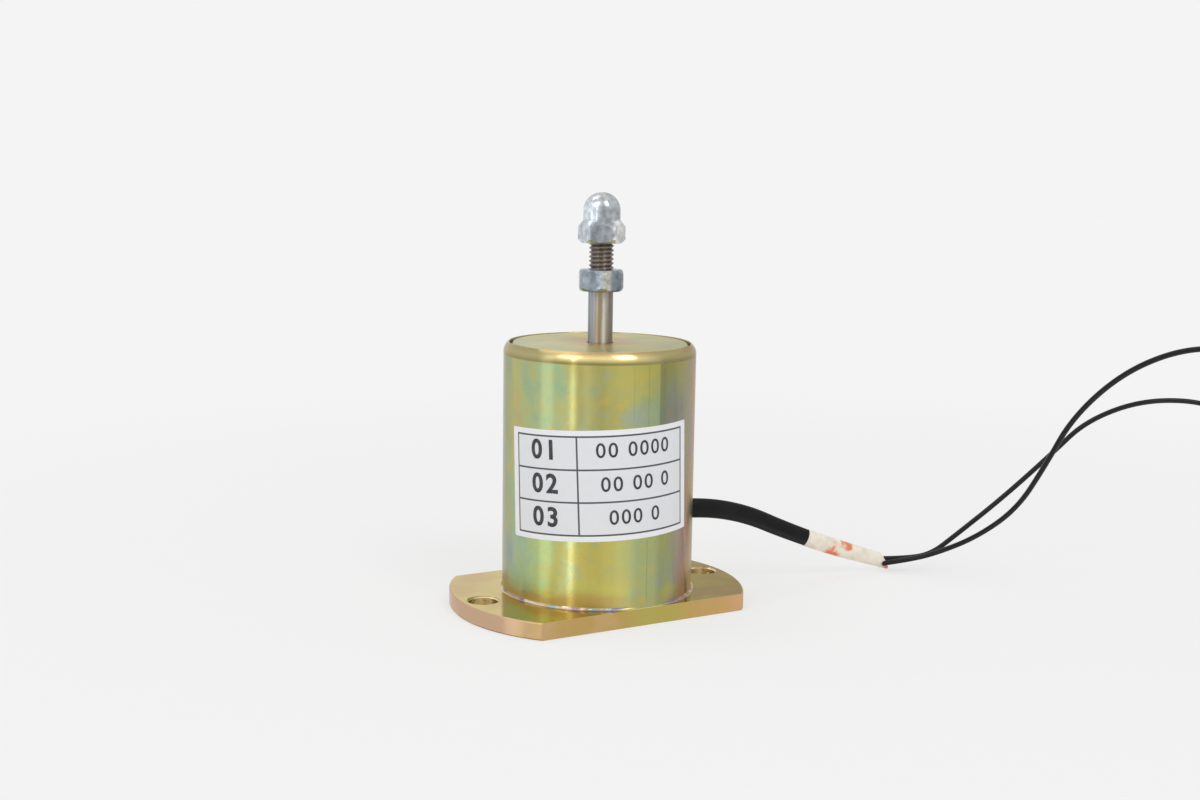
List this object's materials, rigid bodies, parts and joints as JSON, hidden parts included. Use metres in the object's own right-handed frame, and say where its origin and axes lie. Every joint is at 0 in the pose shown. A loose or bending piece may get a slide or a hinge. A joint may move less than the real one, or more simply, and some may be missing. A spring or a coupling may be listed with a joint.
{
  "type": "electromagnet",
  "caption": "Round push solenoid with a two-hole flange, a spring-returned threaded push rod with nuts, and flying leads in a flat sleeve.",
  "frame": {"origin": "on the tube's axis at the underside of the flange", "axes": "+Z along the push, +X through the two mounting holes towards the leads, flats at +Y and -Y"},
  "size_m": [0.1985, 0.13, 0.097],
  "materials": {
    "passivated_steel": "yellow zinc passivate",
    "passivated_cover": "yellow zinc passivate",
    "core_steel": "turned",
    "bush_bronze": "sintered",
    "tube_brass": "drawn",
    "bobbin_nylon": "moulded",
    "winding_copper": "enamelled",
    "tape_polyester": "wound tape",
    "insulator_fibre": "pressed fibre",
    "packing_rubber": "moulded",
    "disc_steel": "stamped, zinc plated",
    "ring_spring_steel": "phosphated",
    "spring_steel": "drawn wire",
    "joint_sleeving": "sleeved solder joint",
    "grommet_nylon": "moulded",
    "sleeve_black": "shrunk sleeve",
    "sleeve_ivory": "varnished glass sleeve, stained",
    "wire_black": "extruded insulation",
    "strand_tin": "tinned",
    "label_paper": "coated paper",
    "plunger_steel": "ground",
    "washer_brass": "stamped",
    "rod_steel": "drawn bar",
    "nut_zinc": "zinc plated"
  },
  "bodies": {
    "stator": {"case": "passivated_steel", "end_cover": "passivated_cover", "pole_core": "core_steel", "core_bush": "bush_bronze", "guide_tube": "tube_brass", "bobbin": "bobbin_nylon", "coil_winding": "winding_copper", "winding_tape": "tape_polyester", "lower_insulator": "insulator_fibre", "upper_insulator": "insulator_fibre", "packing_ring": "packing_rubber", "damper_pad": "packing_rubber", "stop_disc": "disc_steel", "retaining_ring": "ring_spring_steel", "return_spring": "spring_steel", "solder_joints": "joint_sleeving", "lead_grommet": "grommet_nylon", "lead_sleeve": "sleeve_black", "inner_sleeve": "sleeve_ivory", "lead_wire_lower": "wire_black", "lead_wire_upper": "wire_black", "tinned_ends": "strand_tin", "label": "label_paper"},
    "armature": {"plunger": "plunger_steel", "residual_washer": "washer_brass", "push_rod": "rod_steel", "hex_nut": "nut_zinc", "cap_nut": "nut_zinc"}
  },
  "joints": [
    {"name": "rod_push", "type": "slide", "parent": "stator", "child": "armature", "axis": [0, 0, 1], "range_m": [0, 0.01], "stiffness_N_per_m": 200, "springref_m": -0.015, "deforming": ["return_spring"]}
  ]
}
